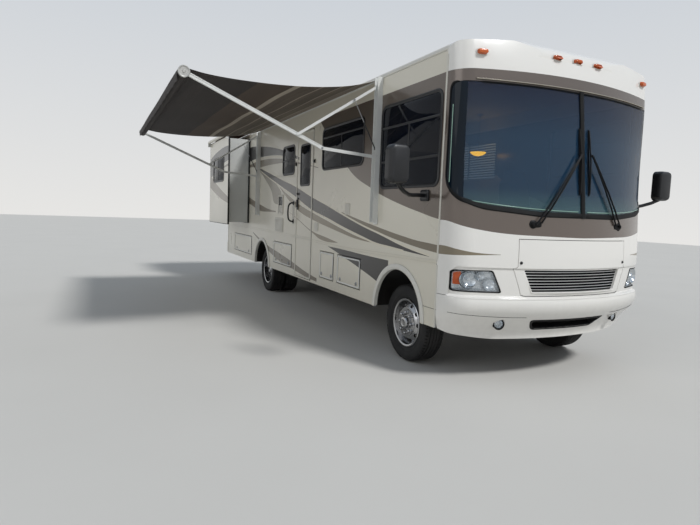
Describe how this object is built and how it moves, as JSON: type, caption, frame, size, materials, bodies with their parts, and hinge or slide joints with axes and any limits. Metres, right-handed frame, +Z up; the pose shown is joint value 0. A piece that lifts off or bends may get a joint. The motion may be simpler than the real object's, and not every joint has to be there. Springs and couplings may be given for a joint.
{
  "type": "motorhome",
  "caption": "Class A motorhome with a domed front cap, patio awning on folding side arms, bedroom slide-out, entry door and storage bay doors",
  "frame": {"origin": "middle of the footprint's box on the ground, tyres standing on z = 0", "axes": "+X across towards the driver's side, +Y towards the rear (the front looks along -Y), +Z up"},
  "size_m": [5.3718, 9.6158, 3.5449],
  "materials": {
    "body_paint": "gloss",
    "dark_glass": "tinted",
    "amber_lens": "moulded",
    "lamp_lens": "clear",
    "bright_metal": "polished",
    "floor_board": "plain",
    "black_steel": "satin",
    "tyre_rubber": "matte",
    "wheel_bright": "polished",
    "cast_engine": "raw",
    "black_plastic": "matte",
    "mirror_shell": "gloss",
    "seat_cloth": "woven",
    "awning_metal": "satin",
    "awning_cloth": "woven"
  },
  "bodies": {
    "coach": {"front_cap": "body_paint", "wall_right": "body_paint", "wall_left": "body_paint", "skirt_right": "body_paint", "skirt_left": "body_paint", "roof": "body_paint", "rear_cap": "body_paint", "front_bumper": "body_paint", "windscreen": "dark_glass", "side_windows": "dark_glass", "signal_lamps": "amber_lens", "headlamps": "lamp_lens", "ladder": "bright_metal", "floor": "floor_board", "storage_bays": "floor_board", "frame_rails": "black_steel", "frame_cross_members": "black_steel", "front_axle": "black_steel", "rear_axle": "black_steel", "drive_line": "black_steel", "engine": "cast_engine", "tanks": "black_plastic", "dashboard": "black_plastic", "wipers": "black_plastic", "roof_units": "black_plastic", "mirrors": "mirror_shell", "cab_seats": "seat_cloth", "awning_channels": "awning_metal", "awning_fabric": "awning_cloth", "topper_fabric": "awning_cloth"},
    "hood": {"hood_panel": "body_paint", "grille": "bright_metal"},
    "door_entry": {"entry_door": "body_paint", "entry_door_window": "dark_glass"},
    "slide_out": {"slide_room": "body_paint", "slide_window": "dark_glass"},
    "knuckle_r": {"knuckle_right": "black_steel"},
    "knuckle_l": {"knuckle_left": "black_steel"},
    "steering_link": {"tie_rod": "black_steel"},
    "front_wheel_r": {"wheel_front_right": "wheel_bright", "tyre_front_right": "tyre_rubber"},
    "front_wheel_l": {"wheel_front_left": "wheel_bright", "tyre_front_left": "tyre_rubber"},
    "rear_wheel_r": {"wheels_rear_right": "wheel_bright", "tyres_rear_right": "tyre_rubber"},
    "rear_wheel_l": {"wheels_rear_left": "wheel_bright", "tyres_rear_left": "tyre_rubber"},
    "awning_lower": {"awning_lower_links": "awning_metal"},
    "awning_arm": {"awning_arms": "awning_metal", "awning_roller": "awning_metal"},
    "awning_upper": {"awning_upper_links": "awning_metal"},
    "awning_tube": {"awning_strut_tubes": "awning_metal"},
    "awning_rod": {"awning_strut_rods": "awning_metal"},
    "bay_right_1": {"bay_door_right_1": "body_paint"},
    "bay_right_2": {"bay_door_right_2": "body_paint"},
    "bay_right_3": {"bay_door_right_3": "body_paint"},
    "bay_right_4": {"bay_door_right_4": "body_paint"},
    "bay_left_1": {"bay_door_left_1": "body_paint"},
    "bay_left_2": {"bay_door_left_2": "body_paint"}
  },
  "joints": [
    {"name": "steer_left", "type": "hinge", "parent": "coach", "child": "knuckle_l", "pos_m": [1.696, -3.523, 0.419], "axis": [0, 0, 1], "range_deg": [-40, 40]},
    {"name": "steer_right", "type": "hinge", "parent": "coach", "child": "knuckle_r", "pos_m": [-0.104, -3.523, 0.419], "axis": [0, 0, 1], "range_deg": [-40, 40]},
    {"name": "tie_rod_end", "type": "hinge", "parent": "knuckle_l", "child": "steering_link", "pos_m": [1.696, -3.333, 0.32], "axis": [0, 0, 1], "range_deg": [-40, 40]},
    {"name": "spin_front_left", "type": "hinge", "parent": "knuckle_l", "child": "front_wheel_l", "pos_m": [1.846, -3.523, 0.419], "axis": [1, 0, 0], "continuous": true},
    {"name": "spin_front_right", "type": "hinge", "parent": "knuckle_r", "child": "front_wheel_r", "pos_m": [-0.254, -3.523, 0.419], "axis": [1, 0, 0], "continuous": true},
    {"name": "spin_rear_left", "type": "hinge", "parent": "coach", "child": "rear_wheel_l", "pos_m": [1.846, 1.627, 0.419], "axis": [1, 0, 0], "continuous": true},
    {"name": "spin_rear_right", "type": "hinge", "parent": "coach", "child": "rear_wheel_r", "pos_m": [-0.254, 1.627, 0.419], "axis": [1, 0, 0], "continuous": true},
    {"name": "hood_hinge", "type": "hinge", "parent": "coach", "child": "hood", "pos_m": [0.796, -4.775, 1.405], "axis": [-1, 0, 0], "range_deg": [0, 60]},
    {"name": "entry_door_hinge", "type": "hinge", "parent": "coach", "child": "door_entry", "pos_m": [-0.496, -0.963, 1.675], "axis": [0, 0, -1], "range_deg": [-165, 0]},
    {"name": "bay_right_1_hinge", "type": "hinge", "parent": "coach", "child": "bay_right_1", "pos_m": [-0.4945, -2.284, 1.034], "axis": [0, 1, 0], "range_deg": [0, 95]},
    {"name": "bay_right_2_hinge", "type": "hinge", "parent": "coach", "child": "bay_right_2", "pos_m": [-0.4945, -1.573, 1.034], "axis": [0, 1, 0], "range_deg": [0, 95]},
    {"name": "bay_right_3_hinge", "type": "hinge", "parent": "coach", "child": "bay_right_3", "pos_m": [-0.4945, 0.397, 1.034], "axis": [0, 1, 0], "range_deg": [0, 95]},
    {"name": "bay_right_4_hinge", "type": "hinge", "parent": "coach", "child": "bay_right_4", "pos_m": [-0.4945, 3.127, 1.034], "axis": [0, 1, 0], "range_deg": [0, 95]},
    {"name": "bay_left_1_hinge", "type": "hinge", "parent": "coach", "child": "bay_left_1", "pos_m": [2.0865, -1.929, 1.034], "axis": [0, -1, 0], "range_deg": [0, 95]},
    {"name": "bay_left_2_hinge", "type": "hinge", "parent": "coach", "child": "bay_left_2", "pos_m": [2.0865, 3.127, 1.034], "axis": [0, -1, 0], "range_deg": [0, 95]},
    {"name": "slide_in", "type": "slide", "parent": "coach", "child": "slide_out", "axis": [1, 0, 0], "range_m": [0, 0.422], "deforming": ["topper_fabric"]},
    {"name": "awning_fold", "type": "hinge", "parent": "coach", "child": "awning_lower", "pos_m": [-0.534, -0.5225, 2.229], "axis": [0, -1, 0], "range_deg": [0, 93.81], "deforming": ["awning_fabric"]},
    {"name": "awning_elbow", "type": "hinge", "parent": "awning_lower", "child": "awning_arm", "pos_m": [-1.18, -0.5225, 2.272], "axis": [0, 1, 0], "range_deg": [0, 159.61]},
    {"name": "awning_upper_turn", "type": "hinge", "parent": "coach", "child": "awning_upper", "pos_m": [-0.542, -0.5225, 3], "axis": [0, -1, 0], "range_deg": [0, 56.86]},
    {"name": "awning_strut_turn", "type": "hinge", "parent": "coach", "child": "awning_tube", "pos_m": [-0.549, -0.5225, 2.31], "axis": [0, 1, 0], "range_deg": [0, 29.11]},
    {"name": "awning_strut_slide", "type": "slide", "parent": "awning_tube", "child": "awning_rod", "axis": [0.478, 0, -0.8784], "range_m": [0, 0.2282]}
  ],
  "couplings": [
    {"joint": "steer_right", "follows": "steer_left", "ratio": 1},
    {"joint": "tie_rod_end", "follows": "steer_left", "ratio": -1},
    {"joint": "awning_elbow", "follows": "awning_fold", "ratio": 1.696},
    {"joint": "awning_upper_turn", "follows": "awning_fold", "ratio": 0.60078},
    {"joint": "awning_strut_turn", "follows": "awning_fold", "ratio": 0.305},
    {"joint": "awning_strut_slide", "follows": "awning_fold", "m_per_rad": 0.13816}
  ]
}
